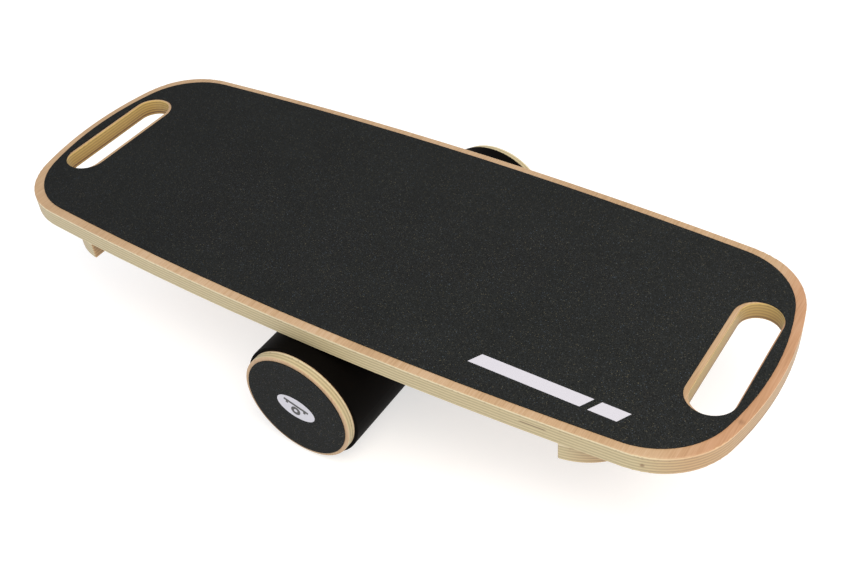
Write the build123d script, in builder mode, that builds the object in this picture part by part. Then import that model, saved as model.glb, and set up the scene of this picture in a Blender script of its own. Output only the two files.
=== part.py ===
from build123d import *
import os
from math import radians, sqrt, tan

os.makedirs("parts", exist_ok=True)

# Balance board: a plywood deck that rolls and seesaws on a loose, covered roller.
# Millimetres, +X along the deck, +Y across it, +Z up, origin on the floor
# under the middle of the deck's length and of the roller's length.

# --- roller -------------------------------------------------------------
SLEEVE_R = 58.0        # rolling surface of the rubber sleeve
SLEEVE_THICK = 3.0
SLEEVE_EASE = 0.8
PIPE_WALL = 3.2        # DN 110 drain pipe, 110 mm outside
DISC_R = 54.9          # plywood end disc, as large as the pipe
DISC_THICK = 8.5       # what a nominal 9 mm sheet measures
DISC_EASE = 1.0
ROLLER_LENGTH = 344.4  # over the two end discs
PLUG_THICK = 12.0
RUN_CLEAR = 0.1        # running clearance all round the core pipe
ROLLER_X = 11.7        # the roller stands this far right of the deck's middle
ROLLER_Z = SLEEVE_R

END_GRIP_R = 51.4
END_LABEL_LENGTH = 40.0
END_LABEL_WIDTH = 24.0
END_LABEL_TURN = -9.6
LABEL_THICK = 0.15
DISC_SCREW_PCD = 76.0
DISC_SCREW_COUNT = 4

# --- deck ---------------------------------------------------------------
DECK_LENGTH = 740.0
DECK_WIDTH = 279.3
DECK_THICK = 18.0
DECK_SIDE_BOW = 17.7   # how far a long side falls back at the deck's ends
DECK_END_BOW = 33.3    # how far an end falls back at the deck's sides
DECK_CORNER_R = 69.7
DECK_EASE = 1.0        # rounding of the deck's edges and of the hand slots
DECK_Y = -10.1         # the deck lies this far forward of the roller's middle
ROLL_GAP = 0.3         # keeps the deck and the roller two separate solids

SLOT_LENGTH = 134.6
SLOT_WIDTH = 36.0
SLOT_X = 332.9
SLOT_SHIFT = 0.3       # both slots sit a little to the right

GRIP_LENGTH = 725.1
GRIP_WIDTH = 263.9
GRIP_SIDE_BOW = 17.1
GRIP_END_BOW = 33.6
GRIP_CORNER_R = 68.1
GRIP_THICK = 0.8
GRIP_TURN = -0.14      # the sheet is stuck down a little askew
CUTOUT_LENGTH = 135.2
CUTOUT_WIDTH = 41.8
CUTOUT_X = 331.3

MARK_THICK = 0.1
MARK_X = 217.5         # middle of the printed mark
MARK_Y = -99.9
MARK_HEIGHT = 12.0
MARK_LONG = 98.0
MARK_SHORT = 24.0
MARK_SPACE = 6.5
MARK_SLANT = 61.4

# --- stops --------------------------------------------------------------
STOP_THICK = 18.0
STOP_FACE_X = 246.2    # straight face that the roller runs up to
STOP_OVAL_X = 239.0    # the stop is the outer slice of a long oval
STOP_OVAL_LENGTH = 263.0
STOP_OVAL_WIDTH = 124.0
STOP_TIP_R = 1.2
STOP_EASE = 1.2
STOP_SCREW_X = 273.0
STOP_SCREW_SPACING = 80.0
STOP_SCREW_COUNT = 3

# --- wood screws --------------------------------------------------------
SCREW_R = 2.0
SCREW_HEAD_R = 3.9
SCREW_HEAD_ANGLE = 82.0
SCREW_TIP = 3.0        # length of the pointed end
SCREW_HOLE_CLEAR = 0.05
HEAD_SEAT_CLEAR = 0.1
STOP_SCREW_LENGTH = 30.0
DISC_SCREW_LENGTH = 18.0
DRIVE_R = 1.7          # cross recess
DRIVE_WIDTH = 0.9
DRIVE_DEPTH = 1.4

DECK_BOTTOM = 2 * SLEEVE_R + ROLL_GAP
DECK_TOP = DECK_BOTTOM + DECK_THICK
GRIP_TOP = DECK_TOP + GRIP_THICK
STOP_BOTTOM = DECK_BOTTOM - STOP_THICK
SCREW_HOLE_R = SCREW_R + SCREW_HOLE_CLEAR
SCREW_SEAT_R = SCREW_HEAD_R + HEAD_SEAT_CLEAR
SCREW_HEAD_DEPTH = (SCREW_HEAD_R - SCREW_R) / tan(radians(SCREW_HEAD_ANGLE / 2))
HALF_ROLLER = ROLLER_LENGTH / 2
HALF_PIPE = HALF_ROLLER - DISC_THICK
PIPE_R = SLEEVE_R - SLEEVE_THICK - RUN_CLEAR
PLUG_R = PIPE_R - PIPE_WALL - RUN_CLEAR
ENDS = (("left", -1), ("right", 1))
FACES = (("near", -1), ("far", 1))


def barrel(length, width, side_bow, end_bow, corner):
    """Oblong with two bowed sides, two bowed ends and rounded corners."""
    side_r = ((length / 2) ** 2 + side_bow**2) / (2 * side_bow)
    end_r = ((width / 2) ** 2 + end_bow**2) / (2 * end_bow)
    side_centre = Vector(0, width / 2 - side_r)
    end_centre = Vector(length / 2 - end_r, 0)
    apart = (end_centre - side_centre).length
    toward = (end_centre - side_centre).normalized()
    along = (side_r**2 - end_r**2 + apart**2) / (2 * apart)
    outward = sqrt(side_r**2 - along**2)
    meet = side_centre + toward * along + Vector(toward.Y, -toward.X) * outward
    with BuildSketch() as outline:
        with BuildLine():
            ThreePointArc((-meet.X, meet.Y), (0, width / 2), (meet.X, meet.Y))
            ThreePointArc((meet.X, meet.Y), (length / 2, 0), (meet.X, -meet.Y))
            ThreePointArc((meet.X, -meet.Y), (0, -width / 2), (-meet.X, -meet.Y))
            ThreePointArc((-meet.X, -meet.Y), (-length / 2, 0), (-meet.X, meet.Y))
        make_face()
        fillet(outline.vertices(), radius=corner)
    return outline.sketch


def wood_screw(length):
    """Countersunk wood screw, head up, its face on Z = 0."""
    with BuildPart() as screw:
        with BuildSketch(Plane.XZ):
            with BuildLine():
                Polyline(
                    (0, 0),
                    (SCREW_HEAD_R, 0),
                    (SCREW_R, -SCREW_HEAD_DEPTH),
                    (SCREW_R, SCREW_TIP - length),
                    (0, -length),
                    close=True,
                )
            make_face()
        revolve(axis=Axis.Z)
        with BuildSketch():
            Rectangle(2 * DRIVE_R, DRIVE_WIDTH)
            Rectangle(DRIVE_WIDTH, 2 * DRIVE_R)
        extrude(amount=-DRIVE_DEPTH, mode=Mode.SUBTRACT)
    return screw.part


def deck_plane(z):
    """Level plane with its origin on the deck's middle."""
    return Plane(origin=(0, DECK_Y, z), z_dir=(0, 0, 1))


def under_plane(sign, z):
    """Plane facing down, over the middle screw of one stop."""
    return Plane(origin=(sign * STOP_SCREW_X, DECK_Y, z), x_dir=(1, 0, 0), z_dir=(0, 0, -1))


def end_plane(sign, inset):
    """Plane facing out of one end of the roller, set back from the disc's face."""
    y = sign * (HALF_ROLLER - inset)
    return Plane(origin=(ROLLER_X, y, ROLLER_Z), x_dir=(1, 0, 0), z_dir=(0, sign, 0))


# --- the board ----------------------------------------------------------
deck_outline = barrel(DECK_LENGTH, DECK_WIDTH, DECK_SIDE_BOW, DECK_END_BOW, DECK_CORNER_R)
grip_outline = barrel(GRIP_LENGTH, GRIP_WIDTH, GRIP_SIDE_BOW, GRIP_END_BOW, GRIP_CORNER_R)

with BuildPart() as deck:
    with BuildSketch(deck_plane(DECK_BOTTOM)):
        add(deck_outline)
        with Locations((SLOT_SHIFT - SLOT_X, 0), (SLOT_SHIFT + SLOT_X, 0)):
            SlotOverall(SLOT_LENGTH, SLOT_WIDTH, rotation=90, mode=Mode.SUBTRACT)
    extrude(amount=DECK_THICK)
    fillet(deck.faces().sort_by(Axis.Z)[-1].edges(), radius=DECK_EASE)
    fillet(deck.faces().sort_by(Axis.Z)[0].edges(), radius=DECK_EASE)
    for sign in (-1, 1):
        with Locations(under_plane(sign, DECK_BOTTOM)):
            with GridLocations(STOP_SCREW_SPACING, STOP_SCREW_SPACING, 1, STOP_SCREW_COUNT):
                Hole(SCREW_HOLE_R, depth=STOP_SCREW_LENGTH - STOP_THICK)
deck.part.label = "deck"
export_step(deck.part, "parts/deck.step")

# The printed mark is a plain leaning dash and a short one after it, flush with the sheet.
slant = MARK_HEIGHT / tan(radians(MARK_SLANT))
mark_total = MARK_LONG + MARK_SPACE + MARK_SHORT
dashes = ((-mark_total / 2, MARK_LONG), (mark_total / 2 - MARK_SHORT, MARK_SHORT))
mark_plane = Plane(origin=(MARK_X, DECK_Y + MARK_Y, GRIP_TOP), z_dir=(0, 0, 1))
with BuildPart() as deck_mark:
    with BuildSketch(mark_plane):
        for start, run in dashes:
            with BuildLine():
                Polyline(
                    (start, -MARK_HEIGHT / 2),
                    (start + run, -MARK_HEIGHT / 2),
                    (start + run + slant, MARK_HEIGHT / 2),
                    (start + slant, MARK_HEIGHT / 2),
                    close=True,
                )
            make_face()
    extrude(amount=-MARK_THICK)
deck_mark.part.label = "deck_mark"
export_step(deck_mark.part, "parts/deck_mark.step")

with BuildPart() as deck_grip:
    with BuildSketch(deck_plane(DECK_TOP)):
        with Locations(Location((0, 0, 0), (0, 0, GRIP_TURN))):
            add(grip_outline)
            with Locations((SLOT_SHIFT - CUTOUT_X, 0), (SLOT_SHIFT + CUTOUT_X, 0)):
                SlotOverall(CUTOUT_LENGTH, CUTOUT_WIDTH, rotation=90, mode=Mode.SUBTRACT)
    extrude(amount=GRIP_THICK)
    add(deck_mark.part, mode=Mode.SUBTRACT)
deck_grip.part.label = "deck_grip"
export_step(deck_grip.part, "parts/deck_grip.step")

stop_screw = wood_screw(STOP_SCREW_LENGTH)
for side, sign in ENDS:
    with BuildPart() as stop:
        with BuildSketch(deck_plane(STOP_BOTTOM)):
            with Locations((sign * STOP_OVAL_X, 0)):
                SlotOverall(STOP_OVAL_LENGTH, STOP_OVAL_WIDTH, rotation=90)
            with Locations((sign * (STOP_FACE_X + STOP_OVAL_WIDTH / 2), 0)):
                Rectangle(STOP_OVAL_WIDTH, STOP_OVAL_LENGTH, mode=Mode.INTERSECT)
        extrude(amount=STOP_THICK)
        roller_side = stop.edges().filter_by(Axis.Z).sort_by(Axis.X)
        fillet(roller_side[:2] if sign > 0 else roller_side[-2:], radius=STOP_TIP_R)
        fillet(stop.faces().sort_by(Axis.Z)[0].edges(), radius=STOP_EASE)
        with Locations(under_plane(sign, STOP_BOTTOM)):
            with GridLocations(STOP_SCREW_SPACING, STOP_SCREW_SPACING, 1, STOP_SCREW_COUNT):
                CounterSinkHole(SCREW_HOLE_R, SCREW_SEAT_R, STOP_THICK, SCREW_HEAD_ANGLE)
    stop.part.label = f"stop_{side}"
    export_step(stop.part, f"parts/stop_{side}.step")

    with BuildPart() as stop_screws:
        with Locations(under_plane(sign, STOP_BOTTOM)):
            with GridLocations(STOP_SCREW_SPACING, STOP_SCREW_SPACING, 1, STOP_SCREW_COUNT):
                add(stop_screw)
    stop_screws.part.label = f"stop_screws_{side}"
    export_step(stop_screws.part, f"parts/stop_screws_{side}.step")

# --- the roller ---------------------------------------------------------
with BuildPart() as core_pipe:
    with BuildSketch(end_plane(1, HALF_ROLLER)):
        Circle(PIPE_R)
        Circle(PIPE_R - PIPE_WALL, mode=Mode.SUBTRACT)
    extrude(amount=HALF_PIPE - RUN_CLEAR, both=True)
core_pipe.part.label = "core_pipe"
export_step(core_pipe.part, "parts/core_pipe.step")

with BuildPart() as roller_sleeve:
    with BuildSketch(end_plane(1, HALF_ROLLER)):
        Circle(SLEEVE_R)
        Circle(SLEEVE_R - SLEEVE_THICK, mode=Mode.SUBTRACT)
    extrude(amount=HALF_PIPE, both=True)
    rims = roller_sleeve.edges().filter_by(GeomType.CIRCLE).group_by(SortBy.RADIUS)[-1]
    fillet(rims, radius=SLEEVE_EASE)
roller_sleeve.part.label = "roller_sleeve"
export_step(roller_sleeve.part, "parts/roller_sleeve.step")

disc_screw = wood_screw(DISC_SCREW_LENGTH)
for face, sign in FACES:
    with BuildPart() as end_plug:
        with BuildSketch(end_plane(sign, DISC_THICK)):
            Circle(PLUG_R)
        extrude(amount=-PLUG_THICK)
        with Locations(end_plane(sign, DISC_THICK)):
            with PolarLocations(DISC_SCREW_PCD / 2, DISC_SCREW_COUNT):
                Hole(SCREW_HOLE_R, depth=DISC_SCREW_LENGTH - DISC_THICK)
    end_plug.part.label = f"end_plug_{face}"
    export_step(end_plug.part, f"parts/end_plug_{face}.step")

    with BuildPart() as end_disc:
        with BuildSketch(end_plane(sign, DISC_THICK)):
            Circle(DISC_R)
        extrude(amount=DISC_THICK)
        fillet(end_disc.edges().sort_by(Axis.Y)[-1 if sign > 0 else 0], radius=DISC_EASE)
        with Locations(end_plane(sign, 0)):
            with PolarLocations(DISC_SCREW_PCD / 2, DISC_SCREW_COUNT):
                CounterSinkHole(SCREW_HOLE_R, SCREW_SEAT_R, DISC_THICK, SCREW_HEAD_ANGLE)
    end_disc.part.label = f"end_disc_{face}"
    export_step(end_disc.part, f"parts/end_disc_{face}.step")

    with BuildPart() as disc_screws:
        with Locations(end_plane(sign, 0)):
            with PolarLocations(DISC_SCREW_PCD / 2, DISC_SCREW_COUNT):
                add(disc_screw)
    disc_screws.part.label = f"disc_screws_{face}"
    export_step(disc_screws.part, f"parts/disc_screws_{face}.step")

    with BuildPart() as end_grip:
        with BuildSketch(end_plane(sign, 0)):
            Circle(END_GRIP_R)
        extrude(amount=GRIP_THICK)
    end_grip.part.label = f"end_grip_{face}"
    export_step(end_grip.part, f"parts/end_grip_{face}.step")

    with BuildPart() as end_label:
        with BuildSketch(end_plane(sign, -GRIP_THICK)):
            Ellipse(END_LABEL_LENGTH / 2, END_LABEL_WIDTH / 2, rotation=END_LABEL_TURN)
        extrude(amount=LABEL_THICK)
    end_label.part.label = f"end_label_{face}"
    export_step(end_label.part, f"parts/end_label_{face}.step")
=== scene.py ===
"""Finishes and studio for a plywood balance board and its roller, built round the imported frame."""

import math

import bmesh
import bpy
from bpy.props import FloatProperty, FloatVectorProperty, PointerProperty
from mathutils import Matrix, Vector


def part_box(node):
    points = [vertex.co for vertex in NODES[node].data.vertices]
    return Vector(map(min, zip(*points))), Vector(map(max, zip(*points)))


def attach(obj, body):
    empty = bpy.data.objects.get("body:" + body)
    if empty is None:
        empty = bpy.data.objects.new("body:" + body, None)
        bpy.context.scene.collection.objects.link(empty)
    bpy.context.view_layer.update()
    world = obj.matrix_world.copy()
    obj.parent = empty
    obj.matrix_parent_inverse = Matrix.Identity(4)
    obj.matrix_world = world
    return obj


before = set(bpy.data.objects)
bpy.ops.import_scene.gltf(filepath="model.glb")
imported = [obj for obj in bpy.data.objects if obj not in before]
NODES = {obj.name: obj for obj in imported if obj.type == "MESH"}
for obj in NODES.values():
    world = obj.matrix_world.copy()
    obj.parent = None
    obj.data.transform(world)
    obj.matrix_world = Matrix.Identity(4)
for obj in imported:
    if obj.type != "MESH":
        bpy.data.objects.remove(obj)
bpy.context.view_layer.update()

bl_info = {
    "name": "Balance Board Finishes",
    "version": (1, 0, 0),
    "blender": (4, 5, 0),
    "location": "3D View > Sidebar > Balance Board",
    "description": "Finishes a balance board and its roller and sets up a studio for them",
    "category": "Object",
}

MM = 0.001

# Places on the deck, in millimetres.
SLOT_MIDDLE = 332.9
SLOT_SHIFT = -10.1
# Half the box round a slot that holds its golden walls, along and across the deck.
SLOT_HALF = (24, 76)
KNOT = (312.1, -135.7, 124.2)
PIN_KNOT = (360.1, -71.7, 134.3)
# The face veneer turns redder at this place along the deck, over a soft seam this half width.
RED_LEAF = 335.0
RED_LEAF_BLUR = 14.0
# Height, half width, middle, reach and strength of each open glue line.
GLUE_LINES = (
    (119.6, 1.1, (-333.0, -10.0, 120.0), 84.0, 0.85),
    (122.8, 0.6, (-333.0, 45.0, 122.8), 34.0, 0.6),
    (118.6, 1.0, (333.0, -10.0, 120.0), 84.0, 0.6),
    (126.3, 0.6, (226.0, -143.0, 126.0), 12.0, 0.9),
)

# Plies, in millimetres: how far they waver, and half the soft line between two of them.
PLY_WAVER = 0.9
PLY_BLUR = 0.3
# Half the soft line between the face veneer and the cut edge, in millimetres.
FACE_BLUR = 0.05

# Wood patterns, by how many there are to a millimetre along and across the plies.
EDGE_STREAKS = (0.1, 2.4)
PORES = (0.3, 0.9)
# Share of the places for a pore or a fleck that stay empty.
PORES_MISSING = 0.4
FLECKS_MISSING = 0.7
# How many plies down the pores are densest, over how many plies they thin out, and what is left.
PORE_PLY = 1.3
PORE_REACH = (1.0, 0.6)
PORES_ELSEWHERE = 0.2
# Flecks are this much closer together than the streaks of the face veneer.
FLECK_SPREAD = 1.5
# Share of the face veneer's tone that comes from its fine streaks. The rest is a slow drift.
FINE_SHARE = 0.65

# Grit: how far single grains stray from the sheet's tone, and which of them get a painted glint.
GRIT_SPREAD = 0.65
PAINTED_GLINT_FROM = 0.93
PAINTED_GLINT_FULL = 0.99
# Painted sheen, from the deck's left-hand to its right-hand end, in millimetres and as shades of the sheet.
PAINTED_SHEEN_ENDS = (-330, 330)
PAINTED_SHEEN_SHADES = (0.75, 1.12)

# The sign on the labels. Drop is a part of the ring's outer radius, place a part of half the bar's
# length and size a part of its thickness.
RING_STEPS = 48
RING_DROP = 0.68
FOOT_PLACE = 0.72
FOOT_SIZE = 0.9
BAR_GAP = 0.8 * MM
FOOT_GAP = 0.02 * MM

# Studio, in metres. The floor is so wide that its edge stays far off in low views.
KEY_PLACE = (1.0, -0.6, 1.9)
KEY_WIDTH = 1.4
FILL_PLACE = (-1.8, -0.9, 1.3)
FILL_WIDTH = 1.2
FLOOR_HALF = 40.0
FLOOR_GAP = 0.2 * MM
NEAREST_SEEN = 0.01


# ---------------------------------------------------------------- helpers


def linear(hex_colour):
    """An sRGB hex value such as "C8A078" as linear RGBA."""
    channels = [int(hex_colour[i : i + 2], 16) / 255 for i in (0, 2, 4)]
    return [c / 12.92 if c <= 0.04045 else ((c + 0.055) / 1.055) ** 2.4 for c in channels] + [1.0]


def add(tree, kind, inputs=None, **settings):
    """One node with its settings, its values and its links."""
    node = tree.nodes.new(kind)
    for key, value in settings.items():
        setattr(node, key, value)
    for key, value in (inputs or {}).items():
        if isinstance(value, bpy.types.NodeSocket):
            tree.links.new(value, node.inputs[key])
        else:
            node.inputs[key].default_value = value
    return node


def fill_ramp(node, stops):
    """Fills a colour ramp from (position, colour) pairs."""
    ramp = node.color_ramp
    while len(ramp.elements) < len(stops):
        ramp.elements.new(1.0)
    for element, (position, colour) in zip(ramp.elements, stops):
        element.position = position
        element.color = colour


def times(colour, factor):
    """A linear colour, brighter or darker by a factor, as RGBA."""
    return [channel * factor for channel in colour] + [1.0]


def mix(tree, amount, below, above, blend="MIX"):
    """The colour socket of one mix of two colours."""
    inputs = {0: amount, 6: below, 7: above}
    return add(tree, "ShaderNodeMix", inputs, data_type="RGBA", blend_type=blend).outputs[2]


def start_material(name, **sockets):
    """A material with its shader, and the place on the piece in millimetres."""
    material = bpy.data.materials.new(name)
    material.use_nodes = True
    tree = material.node_tree
    tree.nodes.clear()
    shader = add(tree, "ShaderNodeBsdfPrincipled", {k.replace("_", " "): v for k, v in sockets.items()})
    add(tree, "ShaderNodeOutputMaterial", {"Surface": shader.outputs[0]})
    place = add(tree, "ShaderNodeTexCoord").outputs["Object"]
    mm = add(tree, "ShaderNodeVectorMath", {0: place, "Scale": 1 / MM}, operation="SCALE").outputs[0]
    return material, tree, shader, mm


def give(material, *names):
    """Puts a material on CAD nodes."""
    for name in names:
        mesh = NODES[name].data
        mesh.materials.clear()
        mesh.materials.append(material)


# ---------------------------------------------------------------- materials


def plywood(name, look, node, across, plies, grain, warm_ends=False, marks=False):
    """Lacquered birch plywood with a thin pinkish face veneer.

    The face shows fine streaks and short brown flecks along its grain. The cut edge shows pale
    long-grain plies and slightly greyer end-grain plies, with dark pores that lie along them.
    across is the axis of the sheet's thickness and grain the streaks per millimetre along each
    axis. warm_ends makes the walls that face along X browner, because they show the fibres of the
    face plies, and marks adds the deck's own marks.
    """
    material, tree, shader, mm = start_material(name, Roughness=look.lacquer_roughness)
    axis = "XYZ".index(across)
    low, high = (corner[axis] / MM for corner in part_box(node))
    split = add(tree, "ShaderNodeSeparateXYZ", {0: mm})

    edge = plain = cut_edge(tree, look, mm, split, axis, low, high, plies)
    if warm_ends:
        normal = add(tree, "ShaderNodeTexCoord").outputs["Normal"]
        facing = add(tree, "ShaderNodeSeparateXYZ", {0: normal}).outputs[0]
        facing = add(tree, "ShaderNodeMath", {0: facing}, operation="ABSOLUTE").outputs[0]
        warmth = add(tree, "ShaderNodeMapRange", {"Value": facing, "From Min": 0.2, "From Max": 0.7})
        warm = mix(tree, 1.0, edge, [*look.end_tint, 1.0], "MULTIPLY")
        edge = mix(tree, warmth.outputs[0], edge, warm)
    if marks:
        edge = deck_marks(tree, look, mm, split.outputs[2], plain, edge)
    face, fine = face_veneer(tree, look, mm, grain)
    if marks:
        face = face_marks(tree, look, mm, split.outputs[0], face)

    # The face veneer shows on the two faces, and the plies on every wall between them.
    middle = (low + high) / 2
    out = add(tree, "ShaderNodeMath", {0: split.outputs[axis], 1: middle}, operation="SUBTRACT").outputs[0]
    out = add(tree, "ShaderNodeMath", {0: out}, operation="ABSOLUTE").outputs[0]
    reach = (high - low) / 2 - look.face_width / MM
    limits = {"From Min": reach - FACE_BLUR, "From Max": reach + FACE_BLUR}
    on_face = add(tree, "ShaderNodeMapRange", {"Value": out, **limits}).outputs[0]
    tree.links.new(mix(tree, on_face, edge, face), shader.inputs["Base Color"])
    # The grain can just be felt through the lacquer.
    bump = add(tree, "ShaderNodeBump", {"Strength": 0.3, "Distance": 0.03 * MM, "Height": fine})
    tree.links.new(bump.outputs[0], shader.inputs["Normal"])
    return material


def cut_edge(tree, look, mm, split, axis, low, high, plies):
    """The colour of the cut edge: pale and greyer plies with fine streaks and dark pores."""
    # The plies waver by a few tenths of a millimetre along the edge.
    waver = add(tree, "ShaderNodeTexNoise", {"Vector": mm, "Scale": 0.03, "Detail": 1.0})
    inputs = {0: waver.outputs[0], 1: PLY_WAVER, 2: split.outputs[axis]}
    depth = add(tree, "ShaderNodeMath", inputs, operation="MULTIPLY_ADD").outputs[0]
    limits = {"From Min": low + PLY_WAVER / 2, "From Max": high + PLY_WAVER / 2}
    share = add(tree, "ShaderNodeMapRange", {"Value": depth, **limits}).outputs[0]
    pale, grey, rim_highlight = [*look.ply_pale, 1.0], [*look.ply_grey, 1.0], [*look.ply_rim_highlight, 1.0]
    first = look.face_width / MM / (high - low)
    soft = PLY_BLUR / (high - low)
    stops = [(0.0, pale)]
    for i in range(1, plies):
        place = first + (1 - 2 * first) * i / plies
        before, after = (pale, grey) if i % 2 else (grey, pale)
        # The top ply is lighter: partly the bright outer ply, partly a painted highlight of the eased upper
        # edge.
        if i == plies - 1:
            after = rim_highlight
        stops += [(place - soft, before), (place + soft, after)]
    layers = add(tree, "ShaderNodeValToRGB", {0: share})
    fill_ramp(layers, stops)

    # Fine streaks run along the plies.
    streaked = [EDGE_STREAKS[0]] * 3
    streaked[axis] = EDGE_STREAKS[1]
    along = add(tree, "ShaderNodeVectorMath", {0: mm, 1: streaked}, operation="MULTIPLY").outputs[0]
    inputs = {"Vector": along, "Scale": 1.0, "Detail": 4.0, "Roughness": 0.6}
    streaks = add(tree, "ShaderNodeTexNoise", inputs)
    limits = {"From Min": 0.3, "From Max": 0.7, "To Min": 0.93, "To Max": 1.05}
    shade = add(tree, "ShaderNodeMapRange", {"Value": streaks.outputs[0], **limits}).outputs[0]
    edge = mix(tree, 1.0, layers.outputs[0], shade, "MULTIPLY")

    # Pores are dashes about two millimetres long, drawn twice as thick as real so that they show.
    laid = [PORES[0]] * 3
    laid[axis] = PORES[1]
    dashes = add(tree, "ShaderNodeVectorMath", {0: mm, 1: laid}, operation="MULTIPLY").outputs[0]
    cells = add(tree, "ShaderNodeTexVoronoi", {"Vector": dashes, "Scale": 1.0})
    chance = add(tree, "ShaderNodeSeparateXYZ", {0: cells.outputs["Color"]}).outputs[0]
    some = add(tree, "ShaderNodeMath", {0: chance, 1: PORES_MISSING}, operation="GREATER_THAN").outputs[0]
    limits = {"From Min": 0.34, "From Max": 0.2, "To Max": look.pore_depth}
    inside = add(tree, "ShaderNodeMapRange", {"Value": cells.outputs["Distance"], **limits}).outputs[0]
    # The ply just under the outer one has most of them.
    step = (1 - 2 * first) / plies
    densest = 1 - first - PORE_PLY * step
    apart = add(tree, "ShaderNodeMath", {0: share, 1: densest}, operation="SUBTRACT").outputs[0]
    apart = add(tree, "ShaderNodeMath", {0: apart}, operation="ABSOLUTE").outputs[0]
    far, near = (reach * step for reach in PORE_REACH)
    limits = {"From Min": far, "From Max": near, "To Min": PORES_ELSEWHERE}
    there = add(tree, "ShaderNodeMapRange", {"Value": apart, **limits}).outputs[0]
    inside = add(tree, "ShaderNodeMath", {0: inside, 1: some}, operation="MULTIPLY").outputs[0]
    inside = add(tree, "ShaderNodeMath", {0: inside, 1: there}, operation="MULTIPLY").outputs[0]
    return mix(tree, inside, edge, [*look.pore, 1.0])


def face_veneer(tree, look, mm, grain):
    """The face veneer's colour and its fine streaks, which lie along the grain."""
    combed = add(tree, "ShaderNodeVectorMath", {0: mm, 1: grain}, operation="MULTIPLY").outputs[0]
    inputs = {"Vector": combed, "Scale": 1.0, "Detail": 5.0, "Roughness": 0.6}
    fine = add(tree, "ShaderNodeTexNoise", inputs).outputs[0]
    drift = add(tree, "ShaderNodeTexNoise", {"Vector": mm, "Scale": 0.012, "Detail": 2.0})
    fine_part = add(tree, "ShaderNodeMath", {0: fine, 1: FINE_SHARE}, operation="MULTIPLY").outputs[0]
    inputs = {0: drift.outputs[0], 1: 1 - FINE_SHARE, 2: fine_part}
    tone = add(tree, "ShaderNodeMath", inputs, operation="MULTIPLY_ADD")
    veneer = add(tree, "ShaderNodeValToRGB", {0: tone.outputs[0]})
    dark, mid, light = [*look.face_dark, 1.0], [*look.face_mid, 1.0], [*look.face_light, 1.0]
    fill_ramp(veneer, [(0.36, dark), (0.5, mid), (0.62, light)])

    # Short flecks.
    closer = [streaks * FLECK_SPREAD for streaks in grain]
    place = add(tree, "ShaderNodeVectorMath", {0: mm, 1: closer}, operation="MULTIPLY").outputs[0]
    cells = add(tree, "ShaderNodeTexVoronoi", {"Vector": place, "Scale": 1.0})
    chance = add(tree, "ShaderNodeSeparateXYZ", {0: cells.outputs["Color"]}).outputs[0]
    rare = add(tree, "ShaderNodeMath", {0: chance, 1: FLECKS_MISSING}, operation="GREATER_THAN").outputs[0]
    limits = {"From Min": 0.06, "From Max": 0.2, "To Min": 0.45, "To Max": 0.0}
    fleck = add(tree, "ShaderNodeMapRange", {"Value": cells.outputs["Distance"], **limits}).outputs[0]
    fleck = add(tree, "ShaderNodeMath", {0: fleck, 1: rare}, operation="MULTIPLY").outputs[0]
    return mix(tree, fleck, veneer.outputs[0], [*look.pore, 1.0]), fine


def face_marks(tree, look, mm, along, face):
    """The deck's face marks: a redder leaf of veneer at the right-hand end and a pin knot."""
    limits = {"From Min": RED_LEAF - RED_LEAF_BLUR, "From Max": RED_LEAF + RED_LEAF_BLUR}
    leaf = add(tree, "ShaderNodeMapRange", {"Value": along, **limits}).outputs[0]
    face = mix(tree, leaf, face, mix(tree, 1.0, face, [*look.leaf_tint, 1.0], "MULTIPLY"))
    away = add(tree, "ShaderNodeVectorMath", {0: mm, 1: PIN_KNOT}, operation="DISTANCE").outputs["Value"]
    limits = {"From Min": 3.4, "From Max": 0.8, "To Max": 0.35}
    pin = add(tree, "ShaderNodeMapRange", {"Value": away, **limits}).outputs[0]
    return mix(tree, pin, face, [*look.glue, 1.0])


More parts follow.
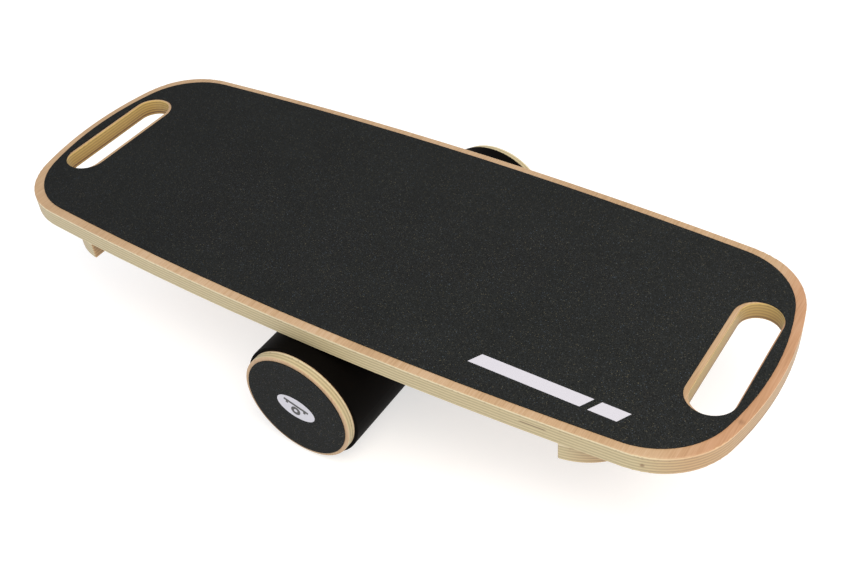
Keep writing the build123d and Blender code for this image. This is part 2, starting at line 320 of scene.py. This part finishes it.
def deck_marks(tree, look, mm, z, plain, edge):
    """The deck's edge marks: golden slot walls with painted shade low down, a few open glue lines and one
    knot.
    """
    # The router and hands leave the slot walls a deeper gold, and low down they are painted darker as
    # painted shade in the slot.
    low, high = (corner.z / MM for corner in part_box("deck"))
    height = add(tree, "ShaderNodeMapRange", {"Value": z, "From Min": low, "From Max": high}).outputs[0]
    gold = mix(tree, height, [*look.slot_painted_shade, 1.0], [*look.slot_tint, 1.0])
    golden = mix(tree, 1.0, plain, gold, "MULTIPLY")
    shrink = (1 / SLOT_HALF[0], 1 / SLOT_HALF[1], 0.0)
    for side in (-1, 1):
        middle = (side * SLOT_MIDDLE, SLOT_SHIFT, 0.0)
        away = add(tree, "ShaderNodeVectorMath", {0: mm, 1: middle}, operation="SUBTRACT").outputs[0]
        away = add(tree, "ShaderNodeVectorMath", {0: away, 1: shrink}, operation="MULTIPLY").outputs[0]
        away = add(tree, "ShaderNodeVectorMath", {0: away}, operation="ABSOLUTE").outputs[0]
        x, y = add(tree, "ShaderNodeSeparateXYZ", {0: away}).outputs[:2]
        farther = add(tree, "ShaderNodeMath", {0: x, 1: y}, operation="MAXIMUM").outputs[0]
        limits = {"From Min": 1.0, "From Max": 0.95, "To Max": look.slot_gold}
        near = add(tree, "ShaderNodeMapRange", {"Value": farther, **limits}).outputs[0]
        edge = mix(tree, near, edge, golden)
    # Brown glue lines in the slot walls and a short one in the near edge.
    for level, width, place, reach, strength in GLUE_LINES:
        apart = add(tree, "ShaderNodeVectorMath", {0: mm, 1: place}, operation="DISTANCE").outputs["Value"]
        limits = {"From Min": reach, "From Max": reach * 0.8, "To Max": strength}
        inside = add(tree, "ShaderNodeMapRange", {"Value": apart, **limits}).outputs[0]
        rise = add(tree, "ShaderNodeMath", {0: z, 1: level}, operation="SUBTRACT").outputs[0]
        rise = add(tree, "ShaderNodeMath", {0: rise}, operation="ABSOLUTE").outputs[0]
        limits = {"From Min": width, "From Max": width / 3}
        line = add(tree, "ShaderNodeMapRange", {"Value": rise, **limits}).outputs[0]
        line = add(tree, "ShaderNodeMath", {0: line, 1: inside}, operation="MULTIPLY").outputs[0]
        edge = mix(tree, line, edge, [*look.glue, 1.0])
    away = add(tree, "ShaderNodeVectorMath", {0: mm, 1: KNOT}, operation="DISTANCE").outputs["Value"]
    limits = {"From Min": 2.2, "From Max": 1.0, "To Max": 0.7}
    knot = add(tree, "ShaderNodeMapRange", {"Value": away, **limits}).outputs[0]
    return mix(tree, knot, edge, [*look.pore, 1.0])


def grit_sheet(name, look, shade):
    """Black anti-slip sheet: plastic film coated with silicon carbide grit.

    It looks matt charcoal, with a painted glint on single grains, some bluish and some
    yellowish. The real grit of about 0.2 mm is drawn at over twice its size so that it shows.
    shade makes a sheet lighter or darker than the deck's.
    """
    material, tree, shader, mm = start_material(name, Roughness=0.75)
    shader.inputs["Specular IOR Level"].default_value = 0.1
    grains = add(tree, "ShaderNodeTexVoronoi", {"Vector": mm, "Scale": MM / look.grit_width})
    chance = add(tree, "ShaderNodeSeparateXYZ", {0: grains.outputs["Color"]})
    body = add(tree, "ShaderNodeValToRGB", {0: chance.outputs[2]})
    darkest = times(look.grit, (1 - GRIT_SPREAD) * shade)
    lightest = times(look.grit, (1 + GRIT_SPREAD) * shade)
    fill_ramp(body, [(0.0, darkest), (1.0, lightest)])
    # Painted glints: a few grains get a lighter bluish or yellowish colour that stands in for light caught
    # by the grit.
    limits = {"From Min": PAINTED_GLINT_FROM, "From Max": PAINTED_GLINT_FULL}
    painted_glint = add(tree, "ShaderNodeMapRange", {"Value": chance.outputs[0], **limits}).outputs[0]
    painted_spark = add(tree, "ShaderNodeValToRGB", {0: chance.outputs[1]})
    cool, warm = [*look.painted_glint_cool, 1.0], [*look.painted_glint_warm, 1.0]
    fill_ramp(painted_spark, [(0.0, cool), (0.4, times(look.grit, 2.5)), (1.0, warm)])
    grit = mix(tree, painted_glint, body.outputs[0], painted_spark.outputs[0])
    # Feet leave a slow, faint cloudiness.
    cloud = add(tree, "ShaderNodeTexNoise", {"Vector": mm, "Scale": 0.015, "Detail": 2.0})
    limits = {"From Min": 0.3, "From Max": 0.7, "To Min": 0.92, "To Max": 1.08}
    wear = add(tree, "ShaderNodeMapRange", {"Value": cloud.outputs[0], **limits}).outputs[0]
    # Painted sheen: the sheet is painted darker at the left-hand end and lighter towards the right-hand end.
    along = add(tree, "ShaderNodeSeparateXYZ", {0: mm}).outputs[0]
    limits = {"From Min": PAINTED_SHEEN_ENDS[0], "From Max": PAINTED_SHEEN_ENDS[1]}
    shades = {"To Min": PAINTED_SHEEN_SHADES[0], "To Max": PAINTED_SHEEN_SHADES[1]}
    painted_sheen = add(tree, "ShaderNodeMapRange", {"Value": along, **limits, **shades}).outputs[0]
    worn_and_sheen = add(tree, "ShaderNodeMath", {0: wear, 1: painted_sheen}, operation="MULTIPLY").outputs[0]
    tree.links.new(mix(tree, 1.0, grit, worn_and_sheen, "MULTIPLY"), shader.inputs["Base Color"])
    inputs = {"Strength": 0.5, "Distance": 0.1 * MM, "Height": grains.outputs["Distance"]}
    tree.links.new(add(tree, "ShaderNodeBump", inputs).outputs[0], shader.inputs["Normal"])
    return material


def screen_print(look):
    """White screen-print ink over the grit: matt, thinner on the tops of the grains."""
    material, tree, shader, mm = start_material("White screen-print ink", Roughness=0.6)
    noise = add(tree, "ShaderNodeTexNoise", {"Vector": mm, "Scale": 1.4, "Detail": 3.0})
    ink = add(tree, "ShaderNodeValToRGB", {0: noise.outputs[0]})
    fill_ramp(ink, [(0.25, times(look.ink, 0.85)), (0.5, times(look.ink, 1.0))])
    tree.links.new(ink.outputs[0], shader.inputs["Base Color"])
    bump = add(tree, "ShaderNodeBump", {"Strength": 0.4, "Distance": 0.05 * MM, "Height": noise.outputs[0]})
    tree.links.new(bump.outputs[0], shader.inputs["Normal"])
    return material


def sleeve_rubber(look):
    """Moulded black rubber sleeve: deep black, smooth and matt, with a faint bloom."""
    material, tree, shader, mm = start_material("Moulded black rubber", Roughness=0.62)
    shader.inputs["Specular IOR Level"].default_value = 0.03
    cloud = add(tree, "ShaderNodeTexNoise", {"Vector": mm, "Scale": 0.03, "Detail": 3.0})
    tone = add(tree, "ShaderNodeValToRGB", {0: cloud.outputs[0]})
    fill_ramp(tone, [(0.35, times(look.rubber, 0.8)), (0.7, times(look.rubber, 1.3))])
    tree.links.new(tone.outputs[0], shader.inputs["Base Color"])
    skin = add(tree, "ShaderNodeTexNoise", {"Vector": mm, "Scale": 2.0, "Detail": 2.0})
    bump = add(tree, "ShaderNodeBump", {"Strength": 0.2, "Distance": 0.03 * MM, "Height": skin.outputs[0]})
    tree.links.new(bump.outputs[0], shader.inputs["Normal"])
    return material


def pipe_plastic():
    """Extruded grey PVC pipe: satin, with faint lines along its length."""
    material, tree, shader, mm = start_material("Extruded grey PVC", Roughness=0.4)
    lines = add(tree, "ShaderNodeVectorMath", {0: mm, 1: (0.8, 0.01, 0.8)}, operation="MULTIPLY")
    noise = add(tree, "ShaderNodeTexNoise", {"Vector": lines.outputs[0], "Scale": 1.0, "Detail": 2.0})
    tone = add(tree, "ShaderNodeValToRGB", {0: noise.outputs[0]})
    fill_ramp(tone, [(0.3, linear("8A8C90")), (0.7, linear("989A9E"))])
    tree.links.new(tone.outputs[0], shader.inputs["Base Color"])
    return material


def screw_steel():
    """Zinc-plated steel: bright, slightly yellow and uneven, with fine machining marks."""
    material, tree, shader, mm = start_material("Zinc-plated steel", Metallic=1.0, Roughness=0.35)
    noise = add(tree, "ShaderNodeTexNoise", {"Vector": mm, "Scale": 1.2, "Detail": 4.0})
    tone = add(tree, "ShaderNodeValToRGB", {0: noise.outputs[0]})
    fill_ramp(tone, [(0.3, linear("A9A7A0")), (0.7, linear("CFCDC6"))])
    tree.links.new(tone.outputs[0], shader.inputs["Base Color"])
    return material


def label_vinyl(look):
    """Printed white vinyl label: a cool white with a slight satin gloss."""
    material, tree, shader, mm = start_material("White vinyl", Roughness=0.4)
    noise = add(tree, "ShaderNodeTexNoise", {"Vector": mm, "Scale": 0.4, "Detail": 2.0})
    tone = add(tree, "ShaderNodeValToRGB", {0: noise.outputs[0]})
    fill_ramp(tone, [(0.3, times(look.label, 0.96)), (0.7, times(look.label, 1.0))])
    tree.links.new(tone.outputs[0], shader.inputs["Base Color"])
    return material


def sign_ink(look):
    """Dark grey label ink: satin, with a slight mottle where it printed thin."""
    material, tree, shader, mm = start_material("Dark label ink", Roughness=0.45)
    noise = add(tree, "ShaderNodeTexNoise", {"Vector": mm, "Scale": 0.9, "Detail": 2.0})
    tone = add(tree, "ShaderNodeValToRGB", {0: noise.outputs[0]})
    fill_ramp(tone, [(0.3, times(look.sign, 0.8)), (0.7, times(look.sign, 1.3))])
    tree.links.new(tone.outputs[0], shader.inputs["Base Color"])
    return material


def milky_acrylic(look):
    """Milky acrylic table top, lit from below, which keeps the shadows on it faint."""
    material, tree, shader, mm = start_material("Milky acrylic table", Roughness=0.9)
    noise = add(tree, "ShaderNodeTexNoise", {"Vector": mm, "Scale": 0.002, "Detail": 2.0})
    tone = add(tree, "ShaderNodeValToRGB", {0: noise.outputs[0]})
    fill_ramp(tone, [(0.3, times(look.floor, 0.985)), (0.7, times(look.floor, 1.0))])
    tree.links.new(tone.outputs[0], shader.inputs["Base Color"])
    shader.inputs["Emission Color"].default_value = (1.0, 1.0, 1.0, 1.0)
    shader.inputs["Emission Strength"].default_value = look.floor_glow
    return material


# ---------------------------------------------------------------- settings


def colour_property(name, description, hex_colour):
    """A colour setting whose default is an sRGB hex value."""
    return FloatVectorProperty(
        name=name,
        description=description,
        subtype="COLOR",
        size=3,
        min=0.0,
        max=1.0,
        default=linear(hex_colour)[:3],
    )


class BoardLook(bpy.types.PropertyGroup):
    """Sizes and colours of the board's and the roller's finishes."""

    face_width: FloatProperty(
        name="Face veneer",
        description="Thickness of the face veneer",
        default=0.6 * MM,
        subtype="DISTANCE",
        unit="LENGTH",
    )
    grit_width: FloatProperty(
        name="Grit",
        description="Width of one grain as drawn",
        default=0.5 * MM,
        subtype="DISTANCE",
        unit="LENGTH",
    )
    lacquer_roughness: FloatProperty(
        name="Lacquer",
        description="Roughness of the lacquered wood",
        default=0.5,
        subtype="FACTOR",
        min=0.0,
        max=1.0,
    )
    pore_depth: FloatProperty(
        name="Pore depth",
        description="How dark the pores of the edges are",
        default=0.6,
        subtype="FACTOR",
        min=0.0,
        max=1.0,
    )
    slot_gold: FloatProperty(
        name="Slot tone",
        description="How golden the slot walls are",
        default=1.0,
        subtype="FACTOR",
        min=0.0,
        max=1.0,
    )
    ring_outer: FloatProperty(
        name="Ring",
        description="Outer radius of the sign's ring",
        default=4.9 * MM,
        subtype="DISTANCE",
        unit="LENGTH",
    )
    ring_inner: FloatProperty(
        name="Ring hole",
        description="Inner radius of the sign's ring",
        default=1.9 * MM,
        subtype="DISTANCE",
        unit="LENGTH",
    )
    bar_length: FloatProperty(
        name="Bar",
        description="Length of the sign's bar",
        default=26.0 * MM,
        subtype="DISTANCE",
        unit="LENGTH",
    )
    bar_thickness: FloatProperty(
        name="Bar height",
        description="Thickness of the sign's bar",
        default=2.6 * MM,
        subtype="DISTANCE",
        unit="LENGTH",
    )
    label_turn: FloatProperty(
        name="Label turn",
        description="How far the labels are turned",
        default=math.radians(-9.6),
        subtype="ANGLE",
        unit="ROTATION",
    )
    bar_lean: FloatProperty(
        name="Bar lean",
        description="How far the bar tilts",
        default=math.radians(-7),
        subtype="ANGLE",
        unit="ROTATION",
    )
    ink_height: FloatProperty(
        name="Ink",
        description="Thickness of the sign's ink",
        default=0.06 * MM,
        subtype="DISTANCE",
        unit="LENGTH",
    )
    face_light: colour_property("Face, light streaks", "Light streaks of the face veneer", "B59A7C")
    face_mid: colour_property("Face", "Main tone of the face veneer", "AD8F6D")
    face_dark: colour_property("Face, dark streaks", "Dark streaks of the face veneer", "9F815F")
    leaf_tint: colour_property("Red leaf", "Tint of the last leaf of face veneer", "FBE7DF")
    ply_pale: colour_property("Pale ply", "Long-grain plies on the cut edge", "B9AB86")
    ply_grey: colour_property("Grey ply", "End-grain plies on the cut edge", "9F9271")
    # The outer ply at the upper rim, lightened partly as a painted highlight of the eased edge.
    ply_rim_highlight: colour_property("Outer ply", "The bright ply at the edge's upper rim", "CDC09E")
    end_tint: colour_property("End walls", "Tint laid over walls that face along X", "F9DFD3")
    pore: colour_property("Pores", "Pores and flecks in the wood", "6E5234")
    slot_tint: colour_property("Slot gold", "Tint laid over the slot walls", "FFEBB2")
    # Painted shade: the darker tint laid over the slot walls low down.
    slot_painted_shade: colour_property("Slot gold, low", "Tint laid over the slot walls low down", "D2B67E")
    glue: colour_property("Glue line", "Open glue lines and the pin knot", "55331A")
    grit: colour_property("Grit sheet", "Main tone of the anti-slip sheet", "1B1D1D")
    # Painted glints: colours of the grains that are lightened as if they catch the light.
    painted_glint_cool: colour_property("Grit, cool grains", "Bluish grains that catch the light", "434F5C")
    painted_glint_warm: colour_property("Grit, warm grains", "Yellowish grains that catch the light", "5A5542")
    ink: colour_property("Print", "Ink of the printed mark", "BEBEC8")
    rubber: colour_property("Sleeve", "Rubber of the roller's sleeve", "050403")
    label: colour_property("Label", "Vinyl of the roller's labels", "BCBCC6")
    sign: colour_property("Sign", "Ink of the sign on the labels", "2C2C2E")


class StudioLook(bpy.types.PropertyGroup):
    """The studio's floor, lights and camera."""

    floor: colour_property("Floor", "Pale studio floor", "BCBCBC")
    floor_glow: FloatProperty(
        name="Floor glow", description="Light that comes up through the floor", default=0.6, min=0.0
    )
    world_strength: FloatProperty(
        name="Sky", description="Strength of the white surroundings", default=0.75, min=0.0
    )
    key_power: FloatProperty(
        name="Key light", description="Power of the key light", default=38.0, unit="POWER"
    )
    key_colour: colour_property("Key colour", "Warm white of the key light", "FFF3E4")
    fill_power: FloatProperty(
        name="Fill light", description="Power of the fill light", default=9.0, unit="POWER"
    )
    fill_colour: colour_property("Fill colour", "Cool white of the fill light", "D4E4FF")
    camera_place: FloatVectorProperty(
        name="Camera",
        description="Where the camera stands",
        default=(0.50898, -0.63943, 0.7813),
        subtype="TRANSLATION",
        unit="LENGTH",
    )
    camera_aim: FloatVectorProperty(
        name="Aim",
        description="The point in the middle of the view",
        default=(0.07347, -0.05462, 0.1343),
        subtype="TRANSLATION",
        unit="LENGTH",
    )
    camera_roll: FloatProperty(
        name="Roll",
        description="How far the camera leans to one side",
        default=math.radians(-5.52),
        subtype="ANGLE",
        unit="ROTATION",
    )
    camera_lens: FloatProperty(
        name="Lens", description="Focal length on 36 mm film", default=48.63, unit="CAMERA"
    )


# ---------------------------------------------------------------- operators


class BALANCE_OT_stage(bpy.types.Operator):
    """Lay a pale floor, hang two soft lights and set up the camera"""

    bl_idname = "balance.stage"
    bl_label = "Studio"

    def execute(self, context):
        look = context.scene.balance_studio
        scene = context.scene
        scene.view_settings.view_transform = "Standard"
        self.lay_floor(scene, look)
        self.hang_light(scene, "key_light", KEY_PLACE, KEY_WIDTH, look.key_power, look.key_colour)
        self.hang_light(scene, "fill_light", FILL_PLACE, FILL_WIDTH, look.fill_power, look.fill_colour)
        world = bpy.data.worlds.new("White surroundings")
        world.use_nodes = True
        background = world.node_tree.nodes["Background"]
        background.inputs["Color"].default_value = (1.0, 1.0, 1.0, 1.0)
        background.inputs["Strength"].default_value = look.world_strength
        scene.world = world
        scene.camera = self.set_camera(scene, look)
        return {"FINISHED"}

    @staticmethod
    def lay_floor(scene, look):
        """A wide floor just under the roller."""
        work = bmesh.new()
        bmesh.ops.create_grid(work, x_segments=24, y_segments=24, size=FLOOR_HALF)
        mesh = bpy.data.meshes.new("floor")
        work.to_mesh(mesh)
        work.free()
        floor = bpy.data.objects.new("floor", mesh)
        floor.location.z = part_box("roller_sleeve")[0].z - FLOOR_GAP
        scene.collection.objects.link(floor)
        mesh.materials.append(milky_acrylic(look))

    @staticmethod
    def hang_light(scene, name, place, width, power, colour):
        """A square soft light that looks at the board."""
        light = bpy.data.lights.new(name, "AREA")
        light.shape = "SQUARE"
        light.size = width
        light.energy = power
        light.color = colour
        lamp = bpy.data.objects.new(name, light)
        lamp.location = place
        lamp.rotation_euler = (-Vector(place)).to_track_quat("-Z", "Y").to_euler()
        scene.collection.objects.link(lamp)

    @staticmethod
    def set_camera(scene, look):
        """The camera, turned to its aim and then leaned to one side."""
        camera = bpy.data.objects.new("camera", bpy.data.cameras.new("camera"))
        scene.collection.objects.link(camera)
        camera.data.lens = look.camera_lens
        camera.data.clip_start = NEAREST_SEEN
        turn = (Vector(look.camera_aim) - Vector(look.camera_place)).to_track_quat("-Z", "Y")
        roll = Matrix.Rotation(look.camera_roll, 4, "Z")
        camera.matrix_world = Matrix.Translation(look.camera_place) @ turn.to_matrix().to_4x4() @ roll
        return camera


class BALANCE_OT_deck(bpy.types.Operator):
    """Finish the deck as lacquered plywood"""

    bl_idname = "balance.deck"
    bl_label = "Deck"

    def execute(self, context):
        look = context.scene.balance_board
        grain = (0.8, 0.03, 0.5)
        give(plywood("Deck birch plywood", look, "deck", "Z", 11, grain, warm_ends=True, marks=True), "deck")
        return {"FINISHED"}


class BALANCE_OT_stops(bpy.types.Operator):
    """Finish the two stop blocks as plywood"""

    bl_idname = "balance.stops"
    bl_label = "Stops"

    def execute(self, context):
        look = context.scene.balance_board
        wood = plywood("Stop birch plywood", look, "stop_left", "Z", 11, (0.8, 0.03, 0.5), warm_ends=True)
        give(wood, "stop_left", "stop_right")
        return {"FINISHED"}


class BALANCE_OT_grit(bpy.types.Operator):
    """Finish the anti-slip sheets of the deck and of the roller's ends"""

    bl_idname = "balance.grit"
    bl_label = "Grit Sheets"

    def execute(self, context):
        look = context.scene.balance_board
        give(grit_sheet("Deck silicon carbide grit sheet", look, 1.0), "deck_grip")
        give(grit_sheet("Roller silicon carbide grit sheet", look, 0.9), "end_grip_near", "end_grip_far")
        return {"FINISHED"}


class BALANCE_OT_mark(bpy.types.Operator):
    """Finish the printed mark on the deck's sheet"""

    bl_idname = "balance.mark"
    bl_label = "Printed Mark"

    def execute(self, context):
        give(screen_print(context.scene.balance_board), "deck_mark")
        return {"FINISHED"}


class BALANCE_OT_screws(bpy.types.Operator):
    """Finish the wood screws"""

    bl_idname = "balance.screws"
    bl_label = "Screws"

    def execute(self, context):
        give(screw_steel(), "stop_screws_left", "stop_screws_right", "disc_screws_near", "disc_screws_far")
        return {"FINISHED"}


class BALANCE_OT_roller(bpy.types.Operator):
    """Finish the roller's sleeve and the pipe inside it"""

    bl_idname = "balance.roller"
    bl_label = "Roller Body"

    def execute(self, context):
        give(sleeve_rubber(context.scene.balance_board), "roller_sleeve")
        give(pipe_plastic(), "core_pipe")
        return {"FINISHED"}


class BALANCE_OT_ends(bpy.types.Operator):
    """Finish the roller's plywood end discs and the plugs behind them"""

    bl_idname = "balance.ends"
    bl_label = "Roller Ends"

    def execute(self, context):
        look = context.scene.balance_board
        for end in ("near", "far"):
            for part, plies in (("disc", 5), ("plug", 7)):
                node = f"end_{part}_{end}"
                name = f"Roller {part} birch plywood, {end}"
                give(plywood(name, look, node, "Y", plies, (0.8, 0.5, 0.03)), node)
        return {"FINISHED"}


class BALANCE_OT_labels(bpy.types.Operator):
    """Finish the plain labels on the roller's ends"""

    bl_idname = "balance.labels"
    bl_label = "Labels"

    def execute(self, context):
        give(label_vinyl(context.scene.balance_board), "end_label_near", "end_label_far")
        return {"FINISHED"}


class BALANCE_OT_signs(bpy.types.Operator):
    """Print a plain sign, a tilted board on a roller, on the roller's labels"""

    bl_idname = "balance.signs"
    bl_label = "Label Signs"

    def execute(self, context):
        look = context.scene.balance_board
        material = sign_ink(look)
        for end, side in (("near", -1), ("far", 1)):
            low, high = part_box(f"end_label_{end}")
            middle = (low + high) / 2
            middle.y = low.y if side < 0 else high.y
            sign = bpy.data.objects.new(f"label_sign_{end}", self.draw_sign(look))
            about = Matrix.Rotation(math.pi if side > 0 else 0.0, 4, "Z")
            upright = Matrix.Rotation(math.pi / 2, 4, "X")
            turn = Matrix.Rotation(look.label_turn, 4, "Z")
            sign.matrix_world = Matrix.Translation(middle) @ (about @ upright) @ turn
            context.scene.collection.objects.link(sign)
            sign.data.materials.append(material)
            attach(sign, "roller")
        return {"FINISHED"}

    @staticmethod
    def draw_sign(look):
        """A thin solid ring below a thin solid board with two feet, in the label's plane."""
        inner, outer = look.ring_inner, look.ring_outer
        drop = -RING_DROP * outer
        outlines = []
        for i in range(RING_STEPS):
            a, b = (math.tau * (i + k) / RING_STEPS for k in (0, 1))
            corners = []
            for angle, radius in ((a, inner), (a, outer), (b, outer), (b, inner)):
                corners.append(Vector((radius * math.cos(angle), radius * math.sin(angle) + drop, 0.0)))
            outlines.append(corners)
        lean = Matrix.Rotation(look.bar_lean, 3, "Z")
        lift = Vector((0.0, outer + drop + BAR_GAP, 0.0))
        half, thick, foot = look.bar_length / 2, look.bar_thickness, look.bar_thickness * FOOT_SIZE
        shapes = [[(-half, 0.0), (half, 0.0), (half, thick), (-half, thick)]]
        for middle in (-FOOT_PLACE * half, FOOT_PLACE * half):
            left, right = middle - foot / 2, middle + foot / 2
            shapes.append([(left, -foot), (right, -foot), (right, -FOOT_GAP), (left, -FOOT_GAP)])
        for shape in shapes:
            outlines.append([lean @ Vector((x, y, 0.0)) + lift for x, y in shape])
        work = bmesh.new()
        for corners in outlines:
            work.faces.new([work.verts.new(corner) for corner in corners])
        bmesh.ops.remove_doubles(work, verts=work.verts, dist=0.001 * MM)
        raised = bmesh.ops.extrude_face_region(work, geom=list(work.faces), use_keep_orig=True)
        tops = [item for item in raised["geom"] if isinstance(item, bmesh.types.BMVert)]
        bmesh.ops.translate(work, verts=tops, vec=(0.0, 0.0, look.ink_height))
        bmesh.ops.recalc_face_normals(work, faces=work.faces)
        mesh = bpy.data.meshes.new("label_sign")
        work.to_mesh(mesh)
        work.free()
        return mesh


PIECE_OPERATORS = (
    BALANCE_OT_deck,
    BALANCE_OT_stops,
    BALANCE_OT_grit,
    BALANCE_OT_mark,
    BALANCE_OT_screws,
    BALANCE_OT_roller,
    BALANCE_OT_ends,
    BALANCE_OT_labels,
    BALANCE_OT_signs,
)


class BALANCE_PT_panel(bpy.types.Panel):
    """Settings and buttons for the balance board"""

    bl_idname = "BALANCE_PT_panel"
    bl_label = "Balance Board"
    bl_space_type = "VIEW_3D"
    bl_region_type = "UI"
    bl_category = "Balance Board"

    def draw(self, context):
        column = self.layout.column()
        for settings in (context.scene.balance_board, context.scene.balance_studio):
            for key in settings.__annotations__:
                column.prop(settings, key)
        for operator in (BALANCE_OT_stage, *PIECE_OPERATORS):
            column.operator(operator.bl_idname)


CLASSES = (BoardLook, StudioLook, BALANCE_OT_stage, *PIECE_OPERATORS, BALANCE_PT_panel)


def register():
    for cls in CLASSES:
        bpy.utils.register_class(cls)
    bpy.types.Scene.balance_board = PointerProperty(type=BoardLook)
    bpy.types.Scene.balance_studio = PointerProperty(type=StudioLook)


def unregister():
    del bpy.types.Scene.balance_studio
    del bpy.types.Scene.balance_board
    for cls in reversed(CLASSES):
        bpy.utils.unregister_class(cls)


def main():
    """Registers the add-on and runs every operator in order."""
    register()
    bpy.ops.balance.stage()
    for operator in PIECE_OPERATORS:
        group, name = operator.bl_idname.split(".")
        getattr(getattr(bpy.ops, group), name)()


if __name__ == "__main__":
    main()
